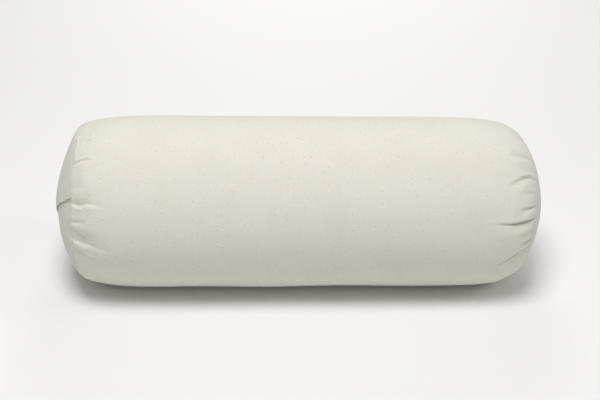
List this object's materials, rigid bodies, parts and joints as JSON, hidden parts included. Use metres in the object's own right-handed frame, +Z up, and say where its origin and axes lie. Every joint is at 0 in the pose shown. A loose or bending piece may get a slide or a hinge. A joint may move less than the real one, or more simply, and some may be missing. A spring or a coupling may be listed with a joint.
{
  "type": "bolster pillow",
  "caption": "Round bolster pillow for spa and massage use: a removable canvas cover with an envelope mouth at one end, over a zipped inner case of cotton fibre.",
  "frame": {"origin": "on the surface the pillow rests on, under the middle of its round body", "axes": "+X along the pillow from the mouth end to the closed end, +Z up; the end seen in front view is at -Y"},
  "size_m": [0.654, 0.23, 0.225],
  "materials": {
    "cover_canvas": "undyed plain-weave cotton canvas with seed specks",
    "label_tape": "smooth woven tape, blank",
    "thread": "undyed cotton sewing thread",
    "case_muslin": "light undyed cotton muslin",
    "zip_tape": "dense woven tape",
    "zip_plastic": "moulded acetal",
    "zip_metal": "nickel-plated zinc",
    "filling_fibre": "carded cotton fibre"
  },
  "bodies": {
    "pillow": {"cover_tube": "cover_canvas", "cover_end_panel": "cover_canvas", "mouth_outer_flap": "cover_canvas", "mouth_inner_flap": "cover_canvas", "care_label": "label_tape", "mouth_end_stitches": "thread", "closed_end_stitches": "thread", "long_seam_stitches": "thread", "outer_hem_stitches": "thread", "inner_hem_stitches": "thread", "case_tube": "case_muslin", "case_end_panel": "case_muslin", "case_front_panel": "case_muslin", "case_rear_panel": "case_muslin", "case_end_stitches": "thread", "zip_front_tape": "zip_tape", "zip_rear_tape": "zip_tape", "zip_tape_stitches": "thread", "zip_front_teeth": "zip_plastic", "zip_rear_teeth": "zip_plastic", "zip_top_stop": "zip_metal", "zip_bottom_stop": "zip_metal", "filling": "filling_fibre"},
    "slider": {"zip_slider": "zip_metal"},
    "pull": {"zip_pull": "zip_metal"}
  },
  "joints": [
    {"name": "slider_run", "type": "hinge", "parent": "pillow", "child": "slider", "pos_m": [-0.05263, 0, 0.11], "axis": [0, 1, 0], "range_deg": [-21.74, 0]},
    {"name": "pull_swing", "type": "hinge", "parent": "slider", "child": "pull", "pos_m": [-0.30917, 0, 0.16269], "axis": [0, 1, 0], "range_deg": [0, 18]}
  ]
}
